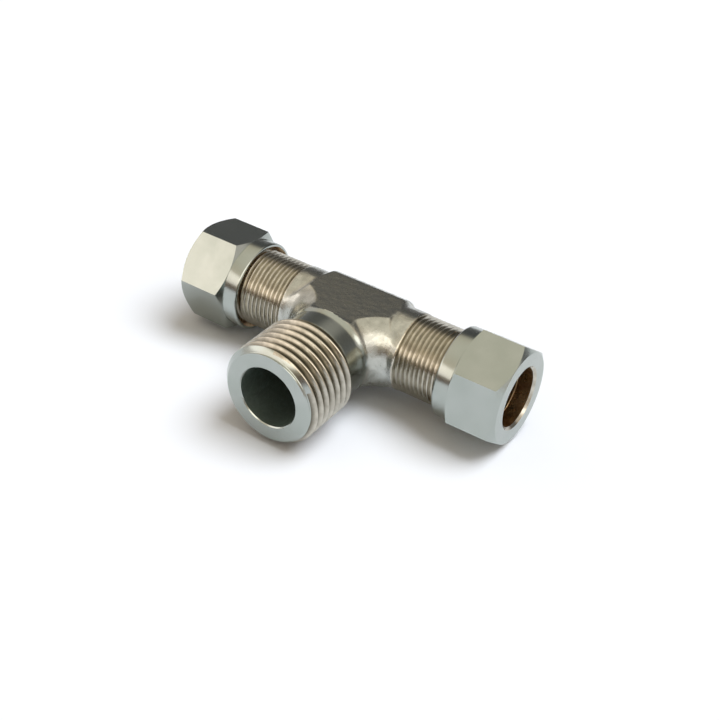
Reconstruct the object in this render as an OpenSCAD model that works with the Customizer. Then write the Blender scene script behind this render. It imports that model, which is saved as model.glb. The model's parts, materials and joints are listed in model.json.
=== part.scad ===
// Male branch tee for compression tube: a forged tee with two ferrule-and-nut run ends
// and one male pipe thread on the branch.
// The run lies along X, the branch points along -Y, and the axes cross at the origin.

/* [Tube] */
// Outside diameter of the tube that the run takes
tube_d = 12; // [8:0.5:15]
// Gap all round the tube in the nut, the ferrule and the socket
tube_gap = 0.1; // [0.05:0.01:0.3]
// How deep the tube enters the tee past the run end
socket_depth = 8; // [5:0.5:12]
// Bore of the run between the two tube stops
flow_d = 10; // [5:0.5:11.5]

/* [Run ends] */
// Outside diameter of the run thread
run_thread_d = 16; // [15.5:0.1:20]
// Pitch of the run thread
run_thread_pitch = 1; // [0.75:0.05:1.5]
// Centre of the tee to the face of a run end
run_reach = 29; // [25:0.5:40]
// Centre of the tee to the start of a run thread
run_thread_from = 13.8; // [12:0.1:18]
// How far the plain run stands above the thread crests
plain_run_step = 0.15; // [0.02:0.01:0.3]
// Chamfer at the mouth of a run thread
run_chamfer = 0.7; // [0.3:0.1:1]
// Half angle of the cone that takes the ferrule
cone_angle = 12; // [8:1:20]
// Length of that cone
cone_depth = 3.5; // [2:0.1:4.5]

/* [Forged middle] */
// How far the middle stands above the plain run
middle_step = 0.85; // [0.6:0.05:2]
// Half length of the middle along the run
middle_half = 9.4; // [8:0.1:11.5]
// Length of the slope at each end of the middle
middle_slope = 0.85; // [0.3:0.05:1.5]
// How far the flats lie outside the plain run
flat_step = 0.05; // [0.03:0.01:0.3]
// Distance from the run axis to the rim where the flats stop at the branch neck
flat_end = 10.2; // [9.5:0.1:13]
// Length of the slope at that rim
flat_slope = 0.7; // [0.2:0.1:1.5]
// Radius of the inside corners between run and branch
corner_radius = 4; // [3:0.1:4.6]
// How far the corner's bend starts under the neck and the plain run
corner_inset = 0.25; // [0.15:0.05:0.5]

/* [Branch] */
// Outside diameter of the branch thread
branch_thread_d = 20.955; // [18:0.005:24]
// Pitch of the branch thread
branch_thread_pitch = 1.814; // [1:0.001:2.309]
// Centre of the tee to the branch face
branch_reach = 29.5; // [24:0.5:40]
// Centre of the tee to the start of the branch thread
branch_thread_from = 15.8; // [14:0.1:19]
// How far the neck lies below the root of the branch thread
neck_relief = 0.2; // [0.1:0.05:0.5]
// How far the rim at the flats stands above the neck
rim_step = 0.4; // [0.2:0.05:0.8]
// Length of the slope from that rim down to the neck
rim_slope = 1; // [0.4:0.1:2]
// Bore of the branch
branch_bore_d = 12.6; // [8:0.1:14]
// Chamfer at the mouth of the branch bore
branch_bore_chamfer = 0.2; // [0.1:0.05:0.5]

/* [Ferrules] */
// Wall of a ferrule at its body
ferrule_wall = 0.85; // [0.6:0.05:1]
// Wall of a ferrule at its nose
ferrule_nose_wall = 0.25; // [0.15:0.05:0.4]
// Wall of a ferrule at its back edge
ferrule_back_wall = 0.2; // [0.1:0.05:0.4]
// Length of the plain band of a ferrule
ferrule_band = 2.5; // [1:0.1:4]
// Gap between a ferrule and the cone once the nut is tight
cone_gap = 0.03; // [0.02:0.01:0.1]
// Gap between a ferrule's back slope and the nut
back_gap = 0.04; // [0.02:0.01:0.1]
// Turns left before the nut is tight
turns_left = 1; // [0.5:0.25:2]

/* [Nuts] */
// Metal between the thread and a flat of the nut
nut_flat_wall = 1.5; // [1.2:0.1:3]
// Metal between the thread and the outside of the collar
collar_wall = 1.37; // [0.8:0.01:2]
// Gap all round the run thread in the nut
nut_thread_gap = 0.06; // [0.03:0.01:0.1]
// Length of the nut
nut_length = 14; // [12:0.1:18]
// Length of the collar on the nut
collar_length = 3.2; // [1.5:0.1:4]
// Chamfer on the free edge of the collar
collar_chamfer = 0.45; // [0.2:0.05:0.8]
// Chamfer at the mouth of the nut's thread
nut_mouth_chamfer = 0.8; // [0.2:0.05:0.9]
// Length of the tube hole with its chamfer
nut_land = 3.3; // [1.5:0.1:5]
// Chamfer at the mouth of the tube hole
tube_hole_chamfer = 0.5; // [0.2:0.05:1]
// How far the front bevel reaches inside the flats
bevel_inset = 0.15; // [0.05:0.05:0.6]
// Angle of the front bevel against the nut's face
front_bevel_angle = 35; // [20:1:45]
// Angle of the back bevel against the nut's face
back_bevel_angle = 30; // [20:1:45]
// Turn of the left nut: a corner's angle from +Y towards +Z
left_nut_turn = 51; // [0:1:59]
// Turn of the right nut: a corner's angle from +Y towards +Z
right_nut_turn = 24; // [0:1:59]

/* [Hidden] */
$fn = 96;

// Room that cutting shapes run past the metal
over = 1;
// Finished nickel and bare brass
nickel = [0.72, 0.70, 0.66];
brass = [0.80, 0.62, 0.32];

// Radii along the run
tube_hole_r = tube_d / 2 + tube_gap;
run_thread_r = run_thread_d / 2;
plain_run_r = run_thread_r + plain_run_step;
middle_r = plain_run_r + middle_step;
flat_z = plain_run_r + flat_step;
cone_mouth_r = tube_hole_r + cone_depth * tan(cone_angle);

// Radii along the branch: the depth is that of a 55 degree thread with round crests
branch_thread_r = branch_thread_d / 2;
branch_thread_depth = 0.640327 * branch_thread_pitch;
neck_r = branch_thread_r - branch_thread_depth - neck_relief;
rim_r = neck_r + rim_step;
branch_bore_r = branch_bore_d / 2;
drill_point = branch_bore_r / tan(59);

// A ferrule, measured from its nose
ferrule_nose_r = tube_hole_r + ferrule_nose_wall;
ferrule_r = tube_hole_r + ferrule_wall;
ferrule_back_r = tube_hole_r + ferrule_back_wall;
ferrule_nose_length = (ferrule_r - ferrule_nose_r) / tan(cone_angle);
ferrule_band_end = ferrule_nose_length + ferrule_band;
ferrule_length = ferrule_band_end + ferrule_r - ferrule_back_r;

// Places along the run: the cone sets the ferrule, and the ferrule sets the nut
tight_nose_x = run_reach - (cone_mouth_r - ferrule_nose_r - cone_gap) / tan(cone_angle);
ferrule_x = tight_nose_x + turns_left * run_thread_pitch;
nut_thread_r = run_thread_r + nut_thread_gap;
seat_end_x = ferrule_x + ferrule_band_end + back_gap * sqrt(2) + ferrule_r - tube_hole_r;
seat_from_x = seat_end_x - (nut_thread_r - tube_hole_r);
nut_face_x = seat_end_x + nut_land;
nut_back_x = nut_face_x - nut_length;
hex_from_x = nut_back_x + collar_length;

// Outside of a nut
hex_af = run_thread_d + 2 * nut_flat_wall;
hex_corner_r = hex_af / sqrt(3);
collar_r = nut_thread_r + collar_wall;
bevel_r = hex_af / 2 - bevel_inset;

// Turns an outline of [distance along X, radius] points round the X axis
module turned(outline) {
    rotate([0, 90, 0])
        rotate_extrude()
            polygon([for (p = outline) [p[1], p[0]]]);
}

// Half of the run from the centre outwards, before it is bored
module run_half() {
    turned([
        [0, 0],
        [0, middle_r],
        [middle_half - middle_slope, middle_r],
        [middle_half, plain_run_r],
        [run_thread_from, plain_run_r],
        [run_thread_from + plain_run_step, run_thread_r],
        [run_reach - run_chamfer, run_thread_r],
        [run_reach, run_thread_r - run_chamfer],
        [run_reach, 0]
    ]);
}

// Inside corner of the forging, on the +X side: a quarter of a ring that bends from the run into the
// branch, carries the flats round and slopes down along the plain run
module inside_corner() {
    bar_r = middle_r - flat_step;
    full_end = middle_half - middle_slope;
    slope_end = neck_r + corner_radius + over;
    intersection() {
        translate([neck_r + corner_radius, -plain_run_r - corner_radius, 0])
            rotate([0, 0, 90])
                rotate_extrude(angle = 90)
                    translate([bar_r + corner_radius + corner_inset, 0])
                        circle(r = bar_r);
        rotate([90, 0, 0])
            linear_extrude(plain_run_r + corner_radius + over)
                polygon([
                    [-corner_radius, neck_r],
                    [full_end, neck_r],
                    [slope_end, plain_run_r / 2],
                    [slope_end, -plain_run_r / 2],
                    [full_end, -neck_r],
                    [-corner_radius, -neck_r]
                ]);
    }
}

// Branch with its rim, neck and thread, and the chamfered mouth
module branch() {
    rotate([0, 0, -90])
        turned([
            [0, 0],
            [0, rim_r],
            [flat_end, rim_r],
            [flat_end + rim_slope, neck_r],
            [branch_thread_from, neck_r],
            [branch_thread_from + branch_thread_depth, branch_thread_r],
            [branch_reach - branch_thread_depth, branch_thread_r],
            [branch_reach, branch_thread_r - branch_thread_depth],
            [branch_reach, 0]
        ]);
}

// What the upper flat takes away, with a slope at the neck's rim
module flat_cut() {
    translate([-middle_half - over, 0, 0])
        rotate([90, 0, 90])
            linear_extrude(2 * (middle_half + over))
                polygon([
                    [-flat_end + flat_slope, flat_z],
                    [middle_r + over, flat_z],
                    [middle_r + over, branch_thread_d],
                    [-flat_end, branch_thread_d],
                    [-flat_end, flat_z + flat_slope]
                ]);
}

// Tube socket and ferrule cone at the +X run end, with half of the flow bore
module run_bore() {
    turned([
        [-over, 0],
        [-over, flow_d / 2],
        [run_reach - socket_depth, flow_d / 2],
        [run_reach - socket_depth, tube_hole_r],
        [run_reach - cone_depth, tube_hole_r],
        [run_reach, cone_mouth_r],
        [run_reach + over, cone_mouth_r],
        [run_reach + over, 0]
    ]);
}

// Branch bore, drilled into the run
module branch_bore() {
    rotate([0, 0, -90])
        turned([
            [0, 0],
            [drill_point, branch_bore_r],
            [branch_reach - branch_bore_chamfer, branch_bore_r],
            [branch_reach, branch_bore_r + branch_bore_chamfer],
            [branch_reach + over, branch_bore_r + branch_bore_chamfer],
            [branch_reach + over, 0]
        ]);
}

module tee_body() {
    color(nickel)
        difference() {
            union() {
                for (side = [0, 1]) {
                    mirror([side, 0, 0]) {
                        run_half();
                        inside_corner();
                    }
                }
                branch();
            }
            for (side = [0, 1]) {
                mirror([0, 0, side]) flat_cut();
                mirror([side, 0, 0]) run_bore();
            }
            branch_bore();
        }
}

// Hexagon with both ends bevelled, corner at the given angle from +Y towards +Z
module nut_hexagon(corner_angle) {
    back_rise = (hex_corner_r + over - collar_r) * tan(back_bevel_angle);
    front_rise = (hex_corner_r + over - bevel_r) * tan(front_bevel_angle);
    intersection() {
        translate([hex_from_x, 0, 0])
            rotate([0, 90, 0])
                rotate([0, 0, corner_angle + 90])
                    cylinder(r = hex_corner_r, h = nut_length - collar_length, $fn = 6);
        turned([
            [hex_from_x - over, 0],
            [hex_from_x - over, collar_r],
            [hex_from_x, collar_r],
            [hex_from_x + back_rise, hex_corner_r + over],
            [nut_face_x - front_rise, hex_corner_r + over],
            [nut_face_x, bevel_r],
            [nut_face_x + over, bevel_r],
            [nut_face_x + over, 0]
        ]);
    }
}

// Compression nut of the +X run end
module nut(corner_angle) {
    color(nickel)
        difference() {
            union() {
                nut_hexagon(corner_angle);
                turned([
                    [nut_back_x, 0],
                    [nut_back_x, collar_r - collar_chamfer],
                    [nut_back_x + collar_chamfer, collar_r],
                    [hex_from_x + over, collar_r],
                    [hex_from_x + over, 0]
                ]);
            }
            turned([
                [nut_back_x - over, 0],
                [nut_back_x - over, nut_thread_r + nut_mouth_chamfer],
                [nut_back_x, nut_thread_r + nut_mouth_chamfer],
                [nut_back_x + nut_mouth_chamfer, nut_thread_r],
                [seat_from_x, nut_thread_r],
                [seat_end_x, tube_hole_r],
                [nut_face_x - tube_hole_chamfer, tube_hole_r],
                [nut_face_x, tube_hole_r + tube_hole_chamfer],
                [nut_face_x + over, tube_hole_r + tube_hole_chamfer],
                [nut_face_x + over, 0]
            ]);
        }
}

// Sealing ring of the +X run end: nose in the cone, back slope in the nut
module ferrule() {
    color(brass)
        turned([
            [ferrule_x, tube_hole_r],
            [ferrule_x, ferrule_nose_r],
            [ferrule_x + ferrule_nose_length, ferrule_r],
            [ferrule_x + ferrule_band_end, ferrule_r],
            [ferrule_x + ferrule_length, ferrule_back_r],
            [ferrule_x + ferrule_length, tube_hole_r]
        ]);
}

module left_nut() { mirror([1, 0, 0]) nut(left_nut_turn); }
module right_nut() { nut(right_nut_turn); }
module left_ferrule() { mirror([1, 0, 0]) ferrule(); }
module right_ferrule() { ferrule(); }

tee_body();
left_nut();
right_nut();
left_ferrule();
right_ferrule();
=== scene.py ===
# %% [markdown]
# Male branch tee fitting, a lesson in cells.
# The object is a forged brass pipe tee with a bright nickel plate. Two compression nuts close the
# ends of the run, each over a brass ring that grips the tube, and the branch carries a coarse male
# pipe thread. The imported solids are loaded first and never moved. Each is then replaced by a mesh
# of the same form that also has the cut threads, the soft forged edges and the broken corners.

# %% Load the frame
import bpy
import bmesh
import json
from math import cos, pi, radians, sin, sqrt, tan
from mathutils import Matrix, Vector


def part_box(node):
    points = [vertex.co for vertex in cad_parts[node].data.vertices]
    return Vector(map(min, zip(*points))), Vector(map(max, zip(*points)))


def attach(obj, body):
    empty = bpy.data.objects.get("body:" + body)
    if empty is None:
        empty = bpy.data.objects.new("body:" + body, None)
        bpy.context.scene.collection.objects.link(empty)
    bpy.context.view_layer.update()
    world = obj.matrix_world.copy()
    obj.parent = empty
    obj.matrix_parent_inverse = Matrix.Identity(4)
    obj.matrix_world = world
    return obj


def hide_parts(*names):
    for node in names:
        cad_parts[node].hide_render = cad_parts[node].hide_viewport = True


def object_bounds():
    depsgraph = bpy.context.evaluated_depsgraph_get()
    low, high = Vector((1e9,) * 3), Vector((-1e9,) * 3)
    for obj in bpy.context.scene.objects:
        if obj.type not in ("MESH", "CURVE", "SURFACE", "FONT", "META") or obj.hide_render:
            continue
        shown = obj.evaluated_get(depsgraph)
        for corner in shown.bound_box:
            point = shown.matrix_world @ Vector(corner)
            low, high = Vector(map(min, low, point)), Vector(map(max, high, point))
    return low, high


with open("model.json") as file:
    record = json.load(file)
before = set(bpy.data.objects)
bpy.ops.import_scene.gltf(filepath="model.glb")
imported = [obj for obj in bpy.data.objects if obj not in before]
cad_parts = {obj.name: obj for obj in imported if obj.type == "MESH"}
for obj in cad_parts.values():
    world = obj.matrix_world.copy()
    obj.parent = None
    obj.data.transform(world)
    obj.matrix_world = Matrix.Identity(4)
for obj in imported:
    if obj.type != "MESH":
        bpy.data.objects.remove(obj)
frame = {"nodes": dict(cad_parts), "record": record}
cad_low, cad_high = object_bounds()
print("nodes:", sorted(frame["nodes"]), "box:", cad_low, cad_high)

# %% [markdown]
# Sizes come from the frame where it holds them: the boxes of the nodes give the ends, and the
# mounts give the bores and the branch thread. The rest are the fitting's own sizes, in millimetres,
# and over is how far a cutting tool reaches past what it cuts.
# One unit is one millimetre while modelling, because Blender's merge distances suit that scale, and
# each finished piece is shrunk to metres at the end.

# %% Sizes
MM = 0.001
mounts = {mount["name"]: mount["dims"] for mount in frame["record"]["mounts"]}
tee_low, tee_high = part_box("tee_body")
nut_low, nut_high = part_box("right_nut")
ring_low, ring_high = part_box("right_ferrule")

run_reach = tee_high.x / MM
branch_reach = -tee_low.y / MM
middle_r = tee_high.y / MM
nut_back_x = nut_low.x / MM
nut_face_x = nut_high.x / MM
ring_x = ring_low.x / MM
ring_end_x = ring_high.x / MM
ring_r = ring_high.z / MM
tube_hole_r = mounts["right_tube"]["r_mm"]
socket_stop_x = mounts["run_bore"]["length_mm"] / 2
flow_r = mounts["run_bore"]["r_mm"]
branch_thread_r = mounts["branch_thread"]["r_mm"]
branch_bore_r = mounts["branch_bore"]["r_mm"]

run_thread_r = 8.0
run_pitch = 1.0
run_thread_from = 13.8
run_chamfer = 0.7
plain_run_step = 0.15
plain_run_r = run_thread_r + plain_run_step
cone_angle = radians(12)
cone_depth = 3.5
branch_pitch = 1.814
branch_thread_from = 15.8
pipe_depth_share = 0.640327
branch_root_r = branch_thread_r - pipe_depth_share * branch_pitch
neck_relief = 0.2
neck_r = branch_root_r - neck_relief
over = 1.0
print("run reach", run_reach, "branch reach", branch_reach, "nut", nut_back_x, nut_face_x)

# %% [markdown]
# The camera stands where the photograph's did: in front, to the right and above, with a slight
# roll. A camera looks along its own -Z, so its matrix is built from the three directions right, up
# and back. The picture is taken to be 720 by 720.

# %% Camera
picture_px = 720
focal_px = 1337.975
sensor_mm = 36
camera_azimuth = radians(31.673)
camera_height = radians(34.715)
camera_roll = radians(4.363)
camera_distance = 268.389 * MM
camera_target = Vector((1.493, 0, -7.454)) * MM

viewpoint = camera_distance * Vector((sin(camera_azimuth) * cos(camera_height),
                                      -cos(camera_azimuth) * cos(camera_height),
                                      sin(camera_height)))
back = (viewpoint - camera_target).normalized()
right = Vector((0, 0, 1)).cross(back).normalized()
up = back.cross(right)
rolled_right = cos(camera_roll) * right + sin(camera_roll) * up
rolled_up = back.cross(rolled_right)

camera_data = bpy.data.cameras.new("photo_camera")
camera_data.sensor_width = sensor_mm
camera_data.lens = focal_px / picture_px * sensor_mm
camera_data.clip_start = 0.01
camera = bpy.data.objects.new("photo_camera", camera_data)
bpy.context.scene.collection.objects.link(camera)
turn = Matrix((rolled_right, rolled_up, back)).transposed().to_4x4()
camera.matrix_world = Matrix.Translation(viewpoint) @ turn
bpy.context.scene.camera = camera
bpy.context.scene.view_settings.view_transform = "Standard"
print("camera at", camera.matrix_world.translation, "lens", round(camera_data.lens, 2))

# %% [markdown]
# Two small helpers serve everything that follows. Colours are written as sRGB hex values, as in a
# paint program, and Blender's sockets want linear light, so one function converts them. Another
# adds a node with its settings and links, which keeps each material readable as a short list.

# %% Colour and node helpers
def colour(hex_code):
    """Linear red, green, blue and alpha of an sRGB hex value such as "C0C0B8"."""
    shares = [int(hex_code[k:k + 2], 16) / 255 for k in (0, 2, 4)]
    linear = [s / 12.92 if s <= 0.04045 else ((s + 0.055) / 1.055) ** 2.4 for s in shares]
    return (*linear, 1.0)


def node(tree, kind, inputs, **settings):
    """A new node: a socket given as an input is linked, and any other value is set on the socket."""
    made = tree.nodes.new(kind)
    for name, value in settings.items():
        setattr(made, name, value)
    for name, value in inputs.items():
        if isinstance(value, bpy.types.NodeSocket):
            tree.links.new(value, made.inputs[name])
        else:
            made.inputs[name].default_value = value
    return made


def ramp(tree, factor, stops):
    """A colour ramp over the given (place, hex colour) stops."""
    made = node(tree, "ShaderNodeValToRGB", {"Fac": factor})
    points = made.color_ramp.elements
    while len(points) < len(stops):
        points.new(1.0)
    for point, (place, hex_code) in zip(points, stops):
        point.position = place
        point.color = colour(hex_code)
    return made.outputs["Color"]


# %% [markdown]
# Bright metal shows its surroundings, so the studio is built from what the plating reflects. It
# starts with a floor of matt white paper, which also takes the shadow.

# %% Floor
start_z = cad_low.z
floor_width = 8
bpy.ops.object.select_all(action="DESELECT")
bpy.ops.mesh.primitive_plane_add(size=floor_width, location=(0, 0, start_z))
floor = bpy.context.object
floor.name = "white_table"
# Matt white paper: it scatters light evenly, with only a trace of sheen.
paper = bpy.data.materials.new("matt_white_paper")
paper.use_nodes = True
paper_surface = paper.node_tree.nodes["Principled BSDF"].inputs
paper_surface["Base Color"].default_value = colour("F1F4FA")
paper_surface["Roughness"].default_value = 0.9
paper_surface["Specular IOR Level"].default_value = 0.1
floor.data.materials.append(paper)
print("floor at", round(start_z / MM, 3), "mm")

# %% [markdown]
# The room is painted on the sky in bands of height: a warm ceiling, a dark brown band at the horizon
# in front, pale walls on both sides and a dark grey wall behind. Photographed card would do the same,
# but ramps need no picture. The plating sees the room at full strength. The floor gets only part of
# it, so that it keeps the shadow, and past the floor's edge the camera sees plain white.

# %% Colours of the room
world = bpy.data.worlds.new("studio")
bpy.context.scene.world = world
world.use_nodes = True
room = world.node_tree
direction = node(room, "ShaderNodeTexCoord", {}).outputs["Generated"]
parts = node(room, "ShaderNodeSeparateXYZ", {"Vector": direction}).outputs
sideways = node(room, "ShaderNodeMath", {0: parts["X"]}, operation="ABSOLUTE").outputs["Value"]
front_and_ceiling = ramp(room, parts["Z"], [
    (0.00, "6E5A4B"), (0.16, "7A6654"), (0.34, "C0AC90"), (0.62, "EEDEC4"), (0.90, "FFF6E2")])
side_walls = ramp(room, parts["Z"], [
    (0.00, "E8E0D8"), (0.45, "EEE4DA"), (0.75, "F2E2CE"), (0.92, "FFF6E2")])
back_wall = ramp(room, parts["Z"], [
    (0.00, "8A8886"), (0.35, "606060"), (0.62, "5A5A5A"), (0.73, "B8B2A8"), (0.88, "F2E8DA")])
print("room bands:", len(room.nodes), "nodes so far")

# %% Join the walls
side_from, side_full = 0.55, 0.80
back_from, back_full = 0.50, 0.68
room_on_floor = 0.55


def share_beyond(value, start, end):
    """How far a direction lies towards one side of the room, from 0 to 1."""
    return node(room, "ShaderNodeMapRange", {"Value": value, "From Min": start, "From Max": end},
                interpolation_type="SMOOTHSTEP").outputs["Result"]


three_walls = node(room, "ShaderNodeMix", {"Factor": share_beyond(sideways, side_from, side_full),
                                           "A": front_and_ceiling, "B": side_walls},
                   data_type="RGBA")
four_walls = node(room, "ShaderNodeMix", {"Factor": share_beyond(parts["Y"], back_from, back_full),
                                          "A": three_walls.outputs["Result"], "B": back_wall},
                  data_type="RGBA")
seen_by = node(room, "ShaderNodeLightPath", {}).outputs
strength = node(room, "ShaderNodeMapRange", {"Value": seen_by["Is Glossy Ray"],
                                             "To Min": room_on_floor, "To Max": 1.0})
room_shade = room.nodes["Background"]
room.links.new(four_walls.outputs["Result"], room_shade.inputs["Color"])
room.links.new(strength.outputs["Result"], room_shade.inputs["Strength"])
backdrop = node(room, "ShaderNodeBackground", {"Color": colour("FFFFFF")})
sides = node(room, "ShaderNodeMixShader", {0: seen_by["Is Camera Ray"],
                                           1: room_shade.outputs["Background"],
                                           2: backdrop.outputs["Background"]})
room.links.new(sides.outputs["Shader"], room.nodes["World Output"].inputs["Surface"])
print("room:", len(room.nodes), "nodes")

# %% [markdown]
# Two wide softboxes, at the front left and the front right, give the plating its long highlights.
# They are hidden from the floor, and the sun is hidden from the plating: it stands high at the right
# and slightly behind, lights the floor and throws the soft shadow to the left and the front. One
# lamp could do both jobs, but then a change of the shadow would also move the highlights.

# %% Softboxes
lamp_distance = 1.6


def softbox(name, towards, wide, tall, radiance, hex_code):
    """A rectangular lamp in the direction given, facing the fitting, of the given radiance."""
    lamp = bpy.data.lights.new(name, "AREA")
    lamp.shape = "RECTANGLE"
    lamp.size = wide
    lamp.size_y = tall
    lamp.energy = radiance * wide * tall * pi
    lamp.color = colour(hex_code)[:3]
    holder = bpy.data.objects.new(name, lamp)
    bpy.context.scene.collection.objects.link(holder)
    aim = Vector(towards).normalized()
    holder.visible_diffuse = False
    holder.location = aim * lamp_distance
    holder.rotation_euler = aim.to_track_quat("Z", "Y").to_euler()


softbox("front_left_softbox", (-0.60, -0.68, 0.42), 2.0, 0.62, 1.35, "FFF6F0")
softbox("right_softbox", (0.57, -0.51, 0.64), 3.4, 0.75, 1.9, "FFF8EE")
print("softboxes at", lamp_distance, "m")

# %% Sun
sun_from = Vector((0.36, 0.22, 0.90))
sun_data = bpy.data.lights.new("soft_sun", "SUN")
sun_data.energy = 2.75
sun_data.angle = radians(40)
sun_data.color = colour("F6FAFF")[:3]
sun = bpy.data.objects.new("soft_sun", sun_data)
bpy.context.scene.collection.objects.link(sun)
sun.visible_glossy = False
sun.rotation_euler = sun_from.to_track_quat("Z", "Y").to_euler()

# %% [markdown]
# Most of the fitting was cut on a lathe, so most of it can be modelled as a lathe would: an outline
# is drawn point by point and spun round the run's axis. A cylinder with many bevels would also do,
# but the outline says directly where each shoulder and chamfer lies.

# %% Selection helpers
def fresh():
    """Object mode with nothing selected, because operators act on all that is selected."""
    if bpy.context.object and bpy.context.object.mode != "OBJECT":
        bpy.ops.object.mode_set(mode="OBJECT")
    bpy.ops.object.select_all(action="DESELECT")


def pick(piece):
    fresh()
    piece.select_set(True)
    bpy.context.view_layer.objects.active = piece


# %% Lathe helpers
weld_distance = 0.0005


def chain(name, points):
    """A chain of edges through the points, left selected in edit mode."""
    fresh()
    bpy.ops.mesh.primitive_plane_add(size=1)
    piece = bpy.context.object
    piece.name = name
    bpy.ops.object.mode_set(mode="EDIT")
    bpy.ops.mesh.merge(type="CENTER")
    bpy.ops.transform.translate(value=points[0])
    for before, after in zip(points, points[1:]):
        bpy.ops.mesh.extrude_region_move(TRANSFORM_OT_translate={"value": after - before})
    bpy.ops.mesh.select_all(action="SELECT")
    return piece


def draw(name, outline):
    """The same for an outline of (distance along X, radius) points."""
    return chain(name, [Vector((x, 0, r)) for x, r in outline])


def clean(piece):
    """Closes seams and poles, points the faces outwards and leaves edit mode."""
    pick(piece)
    bpy.ops.object.mode_set(mode="EDIT")
    bpy.ops.mesh.select_all(action="SELECT")
    bpy.ops.mesh.remove_doubles(threshold=weld_distance)
    bpy.ops.mesh.dissolve_degenerate(threshold=weld_distance)
    bpy.ops.mesh.normals_make_consistent(inside=False)
    bpy.ops.object.mode_set(mode="OBJECT")


def lathe(name, outline, steps=128):
    """A solid turned round the X axis; the outline starts and ends on the axis."""
    piece = draw(name, outline)
    bpy.ops.mesh.spin(steps=steps, angle=2 * pi, center=(0, 0, 0), axis=(1, 0, 0))
    clean(piece)
    return piece


# %% Helpers for finished solids
def place(piece, matrix):
    """Turns or mirrors a piece in its own mesh."""
    piece.data.transform(matrix)
    if matrix.determinant() < 0:
        piece.data.flip_normals()
    return piece


def finish_modifier(piece, kind, **settings):
    """Adds one modifier, sets it and applies it."""
    pick(piece)
    bpy.ops.object.modifier_add(type=kind)
    modifier = piece.modifiers[-1]
    for name, value in settings.items():
        setattr(modifier, name, value)
    bpy.ops.object.modifier_apply(modifier=modifier.name)


def carve(piece, tool, operation):
    """Boolean with another solid, which is used up."""
    finish_modifier(piece, "BOOLEAN", object=tool, operation=operation, solver="MANIFOLD")
    bpy.data.objects.remove(tool)


def copy_of(piece, name):
    twin = piece.copy()
    twin.data = piece.data.copy()
    twin.name = name
    bpy.context.scene.collection.objects.link(twin)
    return twin


other_end = Matrix.Rotation(pi, 4, "Z")
to_branch = Matrix.Rotation(-pi / 2, 4, "Z")
across = Matrix.Scale(-1, 4, (1, 0, 0))

# %% [markdown]
# The middle of the tee is a hot forging: a short thick bar with a flat on top and below, and a
# hollow fillet in each inside corner where the metal was pressed round from the run to the branch.
# Each fillet is the inner side of a bent bar, so it is a quarter of a torus. The pieces overlap
# freely, a voxel remesh makes one skin of them, and a little smoothing gives the soft edges that
# come out of a forging die. A bevel could not follow so many crossing curves.

# %% Forging sizes
middle_half = 9.4
middle_slope = middle_r - plain_run_r
flat_step = 0.05
flat_z = plain_run_r + flat_step
flat_end = 10.2
flat_slope = 0.7
corner_radius = 4.0
rim_step = 0.4
rim_r = neck_r + rim_step
rim_slope = 1.0
corner_r = neck_r + corner_radius
forging_voxel = 0.205
print("forged middle", 2 * middle_half, "mm long, neck", round(2 * neck_r, 2), "mm thick")


# %% Bend and flat
def bent_bar(bar_r, inside_r, slopes=()):
    """Quarter of a torus that leads from the run, at +X, into the branch, cut by planes."""
    centre = Vector((corner_r, -plain_run_r - corner_radius, 0))
    fresh()
    bpy.ops.mesh.primitive_torus_add(major_radius=inside_r + bar_r, minor_radius=bar_r,
                                     major_segments=160, minor_segments=96, location=centre)
    bar = bpy.context.object
    bpy.ops.object.transform_apply(location=True)
    bpy.ops.object.mode_set(mode="EDIT")
    for point, normal in ((centre, (1, 0, 0)), (centre, (0, -1, 0)), *slopes):
        bpy.ops.mesh.select_all(action="SELECT")
        bpy.ops.mesh.bisect(plane_co=point, plane_no=normal, use_fill=True, clear_outer=True)
    clean(bar)
    return bar


def flat_cutter():
    """What the die leaves off above the flat: a block with a sloped front at the neck's rim."""
    length = 2 * (middle_half + over)
    profile = [(-flat_end + flat_slope, flat_z), (middle_r + over, flat_z),
               (middle_r + over, 2 * flat_z), (-flat_end, 2 * flat_z),
               (-flat_end, flat_z + flat_slope)]
    cutter = chain("flat_cutter", [Vector((-length / 2, y, z)) for y, z in profile])
    bpy.ops.mesh.edge_face_add()
    bpy.ops.mesh.extrude_region_move(TRANSFORM_OT_translate={"value": (length, 0, 0)})
    clean(cutter)
    return cutter


# %% Forged middle
middle = lathe("plated_tee", [
    (-run_thread_from, 0), (-run_thread_from, plain_run_r), (-middle_half, plain_run_r),
    (-middle_half + middle_slope, middle_r), (middle_half - middle_slope, middle_r),
    (middle_half, plain_run_r), (run_thread_from, plain_run_r), (run_thread_from, 0)])
neck = place(lathe("neck", [(0, 0), (0, rim_r), (flat_end, rim_r), (flat_end + rim_slope, neck_r),
                            (branch_thread_from, neck_r), (branch_thread_from, 0)]), to_branch)
shells = [neck]
full_end = middle_half - middle_slope
# The full bend keeps only what lies in front of the run's axis and between two sloped planes.
bend_slopes = (
    ((0, 0, 0), (0, 1, 0)),
    ((full_end, 0, neck_r), (neck_r - plain_run_r / 2, 0, corner_r - full_end)),
    ((full_end, 0, -neck_r), (neck_r - plain_run_r / 2, 0, full_end - corner_r)))
for mirrored in (Matrix.Identity(4), across):
    slim_bend = bent_bar(plain_run_r - flat_step, corner_radius + flat_step)
    full_bend = bent_bar(neck_r - flat_step, corner_radius + 2 * flat_step, bend_slopes)
    shells += [place(slim_bend, mirrored), place(full_bend, mirrored)]
pick(middle)
for shell in shells:
    shell.select_set(True)
bpy.ops.object.join()
finish_modifier(middle, "REMESH", mode="VOXEL", voxel_size=forging_voxel)
for flip in (Matrix.Identity(4), Matrix.Scale(-1, 4, (0, 0, 1))):
    carve(middle, place(flat_cutter(), flip), "DIFFERENCE")
finish_modifier(middle, "REMESH", mode="VOXEL", voxel_size=forging_voxel)
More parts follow.
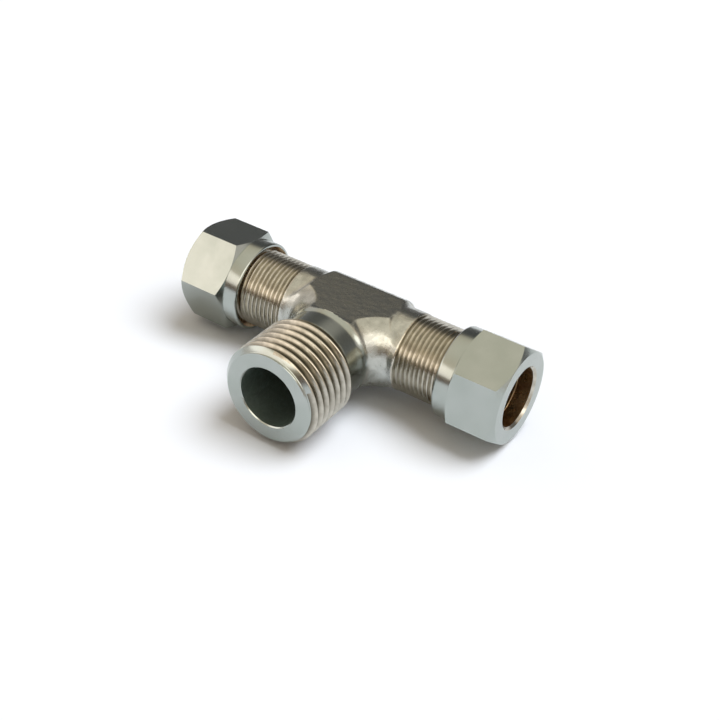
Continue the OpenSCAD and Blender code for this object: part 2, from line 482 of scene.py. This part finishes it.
finish_modifier(middle, "SMOOTH", factor=0.5, iterations=8)
print("forged middle:", len(middle.data.polygons), "faces")

# %% [markdown]
# A thread is one groove that winds round the bar. Spinning a zigzag outline while it moves one
# pitch along the axis draws it exactly: after one full turn each tooth lands on the next, so a
# single turn of the Screw modifier makes the whole thread. The rod is made too long, its two ends
# are filled, and it is then cut to the envelope of the real end, with its chamfer and run-out. A
# bump map would be quicker, but the crests have to break the outline and catch the light.

# %% Thread helper
def thread_rod(name, low_x, high_x, pitch, crest_r, root_r, tooth, steps, lead_turn):
    """A right-hand threaded rod; tooth holds (share of the pitch, share of the depth) points."""
    turns = int((high_x - low_x) / pitch) + 1
    depth = crest_r - root_r
    outline = [(low_x, 0)]
    for turn_number in range(turns):
        for along, rise in tooth:
            outline.append((low_x + (turn_number + along) * pitch, root_r + rise * depth))
    outline.append((low_x + turns * pitch, root_r + tooth[0][1] * depth))
    outline.append((low_x + turns * pitch, 0))
    rod = draw(name, outline)
    bpy.ops.object.mode_set(mode="OBJECT")
    finish_modifier(rod, "SCREW", axis="X", angle=2 * pi, screw_offset=pitch, steps=steps,
                    render_steps=steps, use_merge_vertices=False)
    bpy.ops.object.mode_set(mode="EDIT")
    bpy.ops.mesh.select_all(action="SELECT")
    bpy.ops.mesh.remove_doubles(threshold=weld_distance)
    bpy.ops.mesh.select_all(action="DESELECT")
    bpy.ops.mesh.select_mode(type="EDGE")
    bpy.ops.mesh.select_non_manifold()
    bpy.ops.mesh.fill_holes(sides=0)
    bpy.ops.mesh.select_mode(type="VERT")
    clean(rod)
    return place(rod, Matrix.Rotation(lead_turn, 4, "X"))


# %% Threaded ends of the run
metric_depth_share = 0.61343
run_root_r = run_thread_r - metric_depth_share * run_pitch
run_tooth = [(0.00, 0.0), (0.22, 0.0), (0.53, 0.94), (0.56, 1.0), (0.66, 1.0), (0.69, 0.94)]
run_out = 0.6
run_steps = 84
run_lead = 0.0
run_end = thread_rod("run_end", run_thread_from - 3 * run_pitch, run_reach + run_pitch, run_pitch,
                     run_thread_r, run_root_r, run_tooth, run_steps, run_lead)
carve(run_end, lathe("run_envelope", [
    (run_thread_from - run_out, 0), (run_thread_from - run_out, plain_run_r - run_out / 2),
    (run_thread_from, run_thread_r), (run_reach - run_chamfer, run_thread_r),
    (run_reach, run_thread_r - run_chamfer), (run_reach, 0)]), "INTERSECT")
far_run_end = place(copy_of(run_end, "far_run_end"), other_end)
print("run thread:", len(run_end.data.polygons), "faces each")

# %% [markdown]
# The branch has a parallel pipe thread with a 55 degree tooth and round crests and roots. Its mouth
# is chamfered down to the root, and it fades into the neck behind it.

# %% Branch thread
branch_lead = radians(189)
branch_steps = 128
round_steps = 3
round_share = 0.137329
half_tooth = radians(27.5)


def pipe_tooth():
    """Points of one round-topped 55 degree tooth, from root to root."""
    points = []
    for k in range(round_steps + 1):
        a = (pi / 2 - half_tooth) * k / round_steps
        points.append((round_share * sin(a), round_share * (1 - cos(a)) / pipe_depth_share))
    crest = [(0.5 - along, 1 - rise) for along, rise in reversed(points)]
    falling = [(1 - along, rise) for along, rise in reversed(points + crest)]
    return points + crest + falling[1:-1]


branch_end = thread_rod("branch_end", branch_thread_from - 2 * branch_pitch,
                        branch_reach + branch_pitch, branch_pitch, branch_thread_r, branch_root_r,
                        pipe_tooth(), branch_steps, branch_lead)
thread_depth = branch_thread_r - branch_root_r
carve(branch_end, lathe("branch_envelope", [
    (branch_thread_from - over, 0), (branch_thread_from - over, neck_r - over / 2),
    (branch_thread_from + thread_depth, branch_thread_r),
    (branch_reach - thread_depth, branch_thread_r), (branch_reach, branch_root_r),
    (branch_reach, 0)]), "INTERSECT")
place(branch_end, to_branch)
print("branch thread:", len(branch_end.data.polygons), "faces")

# %% [markdown]
# The forging and the three threaded ends become one solid, and then it is drilled: a flow bore
# through the run with a tube socket and a ring cone at each end, and the wider bore of the branch.

# %% Join and drill the tee
bore_chamfer = 0.2
drill_half_angle = radians(59)
drill_point = branch_bore_r / tan(drill_half_angle)
cone_mouth_r = tube_hole_r + cone_depth * tan(cone_angle)
for end in (run_end, far_run_end, branch_end):
    carve(middle, end, "UNION")
half_bore = [(socket_stop_x, flow_r), (socket_stop_x, tube_hole_r),
             (run_reach - cone_depth, tube_hole_r), (run_reach, cone_mouth_r),
             (run_reach + over, cone_mouth_r), (run_reach + over, 0)]
run_drill = [(-x, r) for x, r in reversed(half_bore)] + half_bore
branch_drill = [(0, 0), (drill_point, branch_bore_r), (branch_reach - bore_chamfer, branch_bore_r),
                (branch_reach, branch_bore_r + bore_chamfer),
                (branch_reach + over, branch_bore_r + bore_chamfer), (branch_reach + over, 0)]
carve(middle, lathe("run_drill", run_drill), "DIFFERENCE")
carve(middle, place(lathe("branch_drill", branch_drill), to_branch), "DIFFERENCE")
clean(middle)
print("tee:", len(middle.data.polygons), "faces")

# %% [markdown]
# A nut starts as hexagon bar. The corners of the bar are rounded a little, both ends are bevelled on
# the lathe, which leaves the curved corner cuts of every turned nut, and a round collar with a soft
# edge stands behind the hexagon. The bar is a six-sided cylinder, and the bevels come from keeping
# only what lies inside a turned envelope.

# %% Nut sizes
hex_af = 19.0
hex_corner_r = hex_af / sqrt(3)
collar_r = 9.43
collar_length = 3.2
collar_round = 0.45
nut_thread_r = 8.06
nut_land = 3.3
mouth_chamfer = 0.8
hole_chamfer = 0.5
bevel_step = 0.15
bevel_r = hex_af / 2 - bevel_step
front_bevel = radians(35)
back_bevel = radians(30)
bar_edge = 0.12
hex_from_x = nut_back_x + collar_length
seat_end_x = nut_face_x - nut_land
seat_from_x = seat_end_x - (nut_thread_r - tube_hole_r)
nut_turns = {"right_nut": radians(24), "left_nut": radians(51)}
print("nut", hex_af, "mm across flats,", round(nut_face_x - nut_back_x, 2), "mm long")


# %% Hexagon bar
def hexagon_bar():
    """Hexagon bar along X with rounded edges and one corner at +Y."""
    length = nut_face_x - hex_from_x
    fresh()
    bpy.ops.mesh.primitive_cylinder_add(vertices=6, radius=hex_corner_r, depth=length,
                                        location=((hex_from_x + nut_face_x) / 2, 0, 0),
                                        rotation=(0, pi / 2, 0))
    bar = bpy.context.object
    bpy.ops.object.transform_apply(location=True, rotation=True)
    bpy.ops.object.mode_set(mode="EDIT")
    bpy.ops.mesh.select_all(action="DESELECT")
    mesh = bmesh.from_edit_mesh(bar.data)
    for edge in mesh.edges:
        ends = [v.co.x for v in edge.verts]
        edge.select = abs(ends[0] - ends[1]) > length / 2
    mesh.select_flush_mode()
    bmesh.update_edit_mesh(bar.data)
    bpy.ops.mesh.bevel(offset=bar_edge, segments=3)
    clean(bar)
    return bar


def arc(centre, radius, start_degrees, end_degrees, steps=5):
    """Points of a round edge in an outline, by angle from the X direction."""
    angles = [radians(start_degrees + (end_degrees - start_degrees) * k / steps)
              for k in range(steps + 1)]
    return [(centre[0] + radius * cos(a), centre[1] + radius * sin(a)) for a in angles]


# %% Both nuts
def compression_nut(name, corner_angle):
    """The nut of the +X end; its corner angle counts from +Y towards +Z."""
    back_rise = (hex_corner_r + over - collar_r) * tan(back_bevel)
    front_rise = (hex_corner_r + over - bevel_r) * tan(front_bevel)
    nut = hexagon_bar()
    nut.name = name
    place(nut, Matrix.Rotation(corner_angle, 4, "X"))
    carve(nut, lathe("bevels", [
        (hex_from_x - over, 0), (hex_from_x - over, collar_r), (hex_from_x, collar_r),
        (hex_from_x + back_rise, hex_corner_r + over),
        (nut_face_x - front_rise, hex_corner_r + over), (nut_face_x, bevel_r),
        (nut_face_x + over, bevel_r), (nut_face_x + over, 0)]), "INTERSECT")
    round_edge = arc((nut_back_x + collar_round, collar_r - collar_round), collar_round, 180, 90)
    carve(nut, lathe("collar", [(nut_back_x, 0), *round_edge, (hex_from_x + over, collar_r),
                                (hex_from_x + over, 0)]), "UNION")
    carve(nut, lathe("nut_drill", [
        (nut_back_x - over, 0), (nut_back_x - over, nut_thread_r + mouth_chamfer),
        (nut_back_x, nut_thread_r + mouth_chamfer), (nut_back_x + mouth_chamfer, nut_thread_r),
        (seat_from_x, nut_thread_r), (seat_end_x, tube_hole_r),
        (nut_face_x - hole_chamfer, tube_hole_r),
        (nut_face_x, tube_hole_r + hole_chamfer), (nut_face_x + over, tube_hole_r + hole_chamfer),
        (nut_face_x + over, 0)]), "DIFFERENCE")
    clean(nut)
    return nut


right_nut = compression_nut("plated_right_nut", nut_turns["right_nut"])
left_nut = place(compression_nut("plated_left_nut", nut_turns["left_nut"]), across)
print("nuts:", len(right_nut.data.polygons), len(left_nut.data.polygons), "faces")

# %% [markdown]
# The ring, or ferrule, is a plain brass sleeve with a long taper at the nose and a short one at the
# back. Only its bore shows, through the hole in the nut, but its edges are broken as on the real one.

# %% Ferrules
ring_nose_wall = 0.25
ring_back_wall = 0.2
ring_nose_r = tube_hole_r + ring_nose_wall
ring_back_r = tube_hole_r + ring_back_wall
ring_nose_end = ring_x + (ring_r - ring_nose_r) / tan(cone_angle)
ring_band_end = ring_end_x - (ring_r - ring_back_r)
ring_edge = 0.06


def compression_ring(name):
    ring = lathe(name, [(ring_x, 0), (ring_x, ring_nose_r), (ring_nose_end, ring_r),
                        (ring_band_end, ring_r), (ring_end_x, ring_back_r), (ring_end_x, 0)])
    carve(ring, lathe("ring_drill", [
        (ring_x - over, 0), (ring_x - over, tube_hole_r + ring_edge),
        (ring_x, tube_hole_r + ring_edge), (ring_x + ring_edge, tube_hole_r),
        (ring_end_x - ring_edge, tube_hole_r), (ring_end_x, tube_hole_r + ring_edge),
        (ring_end_x + over, tube_hole_r + ring_edge), (ring_end_x + over, 0)]), "DIFFERENCE")
    clean(ring)
    return ring


right_ring = compression_ring("brass_right_ferrule")
left_ring = place(compression_ring("brass_left_ferrule"), across)
print("rings:", len(right_ring.data.polygons), len(left_ring.data.polygons), "faces")

# %% [markdown]
# All pieces are now shrunk from millimetres to metres, and their faces are shaded smooth except
# across edges that are truly sharp.

# %% Shrink and shade
sharp_edge = radians(28)
pieces = [middle, right_nut, left_nut, right_ring, left_ring]
for piece in pieces:
    place(piece, Matrix.Scale(MM, 4))
    pick(piece)
    bpy.ops.object.shade_smooth_by_angle(angle=sharp_edge)
    print(piece.name, sum(len(face.vertices) - 2 for face in piece.data.polygons), "triangles")


# %% [markdown]
# Every surface here is brass with more or less nickel on it, so one recipe serves them all: a metal
# whose colour and gloss drift in soft patches, with tool marks as a fine relief. A painted picture
# could hold the marks too, but noise on the piece's own coordinates needs no unwrapping. Tool marks
# are about a tenth of a millimetre apart, too fine for the render, so they are drawn at half a
# millimetre.

# %% Recipe for a metal
tint_low, tint_high = 0.35, 0.65
gloss_low, gloss_high = 0.3, 0.7


def metal(name, light_hex, dark_hex, patch_mm, smooth, rough, mark_mm, mark_depth_mm):
    """A metal whose colour and roughness drift in patches, with tool marks across the given sizes."""
    finish = bpy.data.materials.new(name)
    finish.use_nodes = True
    tree = finish.node_tree
    surface = tree.nodes["Principled BSDF"]
    surface.inputs["Metallic"].default_value = 1.0
    place_on_piece = node(tree, "ShaderNodeTexCoord", {}).outputs["Object"]
    patches = node(tree, "ShaderNodeTexNoise",
                   {"Vector": place_on_piece, "Scale": 1 / (patch_mm * MM), "Detail": 3.0})
    tint = ramp(tree, patches.outputs["Fac"], [(tint_low, dark_hex), (tint_high, light_hex)])
    tree.links.new(tint, surface.inputs["Base Color"])
    gloss = node(tree, "ShaderNodeMapRange", {
        "Value": patches.outputs["Fac"], "From Min": gloss_low, "From Max": gloss_high,
        "To Min": rough, "To Max": smooth})
    tree.links.new(gloss.outputs["Result"], surface.inputs["Roughness"])
    marks_at = node(tree, "ShaderNodeMapping", {
        "Vector": place_on_piece, "Scale": [1 / (size * MM) for size in mark_mm]})
    marks = node(tree, "ShaderNodeTexNoise",
                 {"Vector": marks_at.outputs["Vector"], "Scale": 1.0, "Detail": 2.0})
    relief = node(tree, "ShaderNodeBump", {"Height": marks.outputs["Fac"], "Strength": 1.0,
                                           "Distance": mark_depth_mm * MM})
    tree.links.new(relief.outputs["Normal"], surface.inputs["Normal"])
    return finish


# %% Plated and bare finishes
# Bright nickel on lathe-cut brass: a smooth satin mirror, cool and slightly green.
turned_nickel = metal("satin_nickel_on_turned_brass", "ABB1AD", "A5ACA7", 5.0, 0.18, 0.22,
                      (0.5, 6, 6), 0.002)
# Bright nickel on the skin of a hot forging: the same plate, mottled and softly uneven.
forged_nickel = metal("satin_nickel_on_forged_brass", "BCBEB8", "A4A6A0", 1.6, 0.21, 0.31,
                      (1.2, 1.2, 1.2), 0.04)
# Thin nickel on cut threads and edges: the brass below warms it to a pale tan.
thin_nickel = metal("thin_nickel_on_cut_edge", "C4C0B4", "AEAA9E", 1.5, 0.18, 0.26,
                    (0.5, 4, 4), 0.002)
# Bare turned brass inside the nuts, the run and the rings: golden brown and a little dull.
bare_brass = metal("bare_turned_brass", "D0B890", "9C7A58", 2.0, 0.25, 0.35, (0.4, 5, 5), 0.003)
# Drilled branch bore: a darker grey green than the plate, rough, with no clear reflections.
dull_bore = metal("darker_rough_drilled_bore", "86948E", "728078", 1.5, 0.5, 0.62, (0.4, 3, 3), 0.01)
metals = (turned_nickel, forged_nickel, thin_nickel, bare_brass, dull_bore)
print("finishes:", [finish.name for finish in metals])

# %% [markdown]
# The branch's deep thread gets painted shade: its roots are coloured dark and warm, as the shade that
# falls in the groove, and its crests keep the bright plate, while the fine run threads look even. The
# distance from the thread's axis says how deep in the groove a point lies, and that mixes the painted
# shade with the crest colour.

# %% Branch thread finish, with painted shade in the roots
thread_nickel_with_painted_shade = thin_nickel.copy()
thread_nickel_with_painted_shade.name = "thin_nickel_with_painted_root_shade"
thread_tree = thread_nickel_with_painted_shade.node_tree
thread_base = thread_tree.nodes["Principled BSDF"].inputs["Base Color"]
crest_tint = thread_base.links[0].from_socket
# Painted shade: the branch thread's roots are coloured darker, standing in for the shade in the
# groove.
painted_root_shade = colour("5E5A4E")
across_branch = (1, 0, 1)
on_tee = node(thread_tree, "ShaderNodeTexCoord", {}).outputs["Object"]
outwards = node(thread_tree, "ShaderNodeVectorMath", {0: on_tee, 1: across_branch},
                operation="MULTIPLY").outputs["Vector"]
from_axis = node(thread_tree, "ShaderNodeVectorMath", {0: outwards}, operation="LENGTH")
height = node(thread_tree, "ShaderNodeMapRange",
              {"Value": from_axis.outputs["Value"], "From Min": branch_root_r * MM,
               "From Max": branch_thread_r * MM}, interpolation_type="SMOOTHSTEP")
painted_shade_to_crest = node(thread_tree, "ShaderNodeMix", {"Factor": height.outputs["Result"],
                                                    "A": painted_root_shade, "B": crest_tint},
                     data_type="RGBA")
thread_tree.links.new(painted_shade_to_crest.outputs["Result"], thread_base)
print(thread_nickel_with_painted_shade.name, "dark below", round(branch_root_r, 2), "mm")

# %% [markdown]
# One piece can carry several finishes, because plating and tool left different faces differently.
# Faces are chosen by where they lie: near which axis, how far out, and on which side.

# %% Choose a finish by place
bore_skin = 0.05
seat_skin = 0.02
end_skin = 0.01
thread_fade = 0.3
mouth_band = 0.9
rim_band = 0.2
facing_in = 0.1
rounding = 0.001


def towards_run(centre, normal):
    """Positive where a face looks in at the run's axis."""
    return -(normal.y * centre.y + normal.z * centre.z)


def tee_finish(centre, normal):
    from_run = sqrt(centre.y ** 2 + centre.z ** 2)
    from_branch = sqrt(centre.x ** 2 + centre.z ** 2)
    towards_branch = -(normal.x * centre.x + normal.z * centre.z)
    if from_branch < branch_bore_r + bore_skin and centre.y < -flow_r and towards_branch > 0:
        return dull_bore
    inside_run = from_run < cone_mouth_r + seat_skin and abs(centre.x) < run_reach - end_skin
    if inside_run and towards_run(centre, normal) > -rounding:
        return bare_brass
    if abs(centre.x) > run_thread_from - thread_fade:
        return thin_nickel
    if -branch_reach + mouth_band < centre.y < -branch_thread_from:
        # The branch thread takes the finish with painted shade in its roots.
        return thread_nickel_with_painted_shade
    return turned_nickel if centre.y < -flat_end - rim_band else forged_nickel


def nut_finish(centre, normal):
    from_run = sqrt(centre.y ** 2 + centre.z ** 2)
    if from_run > nut_thread_r + mouth_chamfer or towards_run(centre, normal) < facing_in * from_run:
        return turned_nickel
    return thin_nickel if abs(centre.x) > nut_face_x - hole_chamfer else bare_brass


# %% Give the faces their finishes
def wear(piece, finishes, choose):
    """Adds the finishes and gives each face the one that choose returns for its centre, in mm."""
    piece.data.materials.clear()
    for finish in finishes:
        piece.data.materials.append(finish)
    numbers = {finish.name: number for number, finish in enumerate(finishes)}
    for face in piece.data.polygons:
        face.material_index = numbers[choose(face.center / MM, face.normal).name]
    print(piece.name, "wears", list(numbers))


wear(middle, [forged_nickel, turned_nickel, thin_nickel, bare_brass, dull_bore,
              thread_nickel_with_painted_shade], tee_finish)
for nut in (right_nut, left_nut):
    wear(nut, [turned_nickel, bare_brass, thin_nickel], nut_finish)
for ring in (right_ring, left_ring):
    wear(ring, [bare_brass], lambda centre, normal: bare_brass)

# %% [markdown]
# Each piece now takes the place of its solid and moves with that solid's body.

# %% Ride and finish
rides = [(middle, "tee", "tee_body", "nickel_body"),
         (right_nut, "right_nut", "right_nut", "nickel_nut"),
         (left_nut, "left_nut", "left_nut", "nickel_nut"),
         (right_ring, "right_ferrule", "right_ferrule", "ferrule_brass"),
         (left_ring, "left_ferrule", "left_ferrule", "ferrule_brass")]
for piece, body, solid, slot_name in rides:
    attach(piece, body)
    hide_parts(solid)
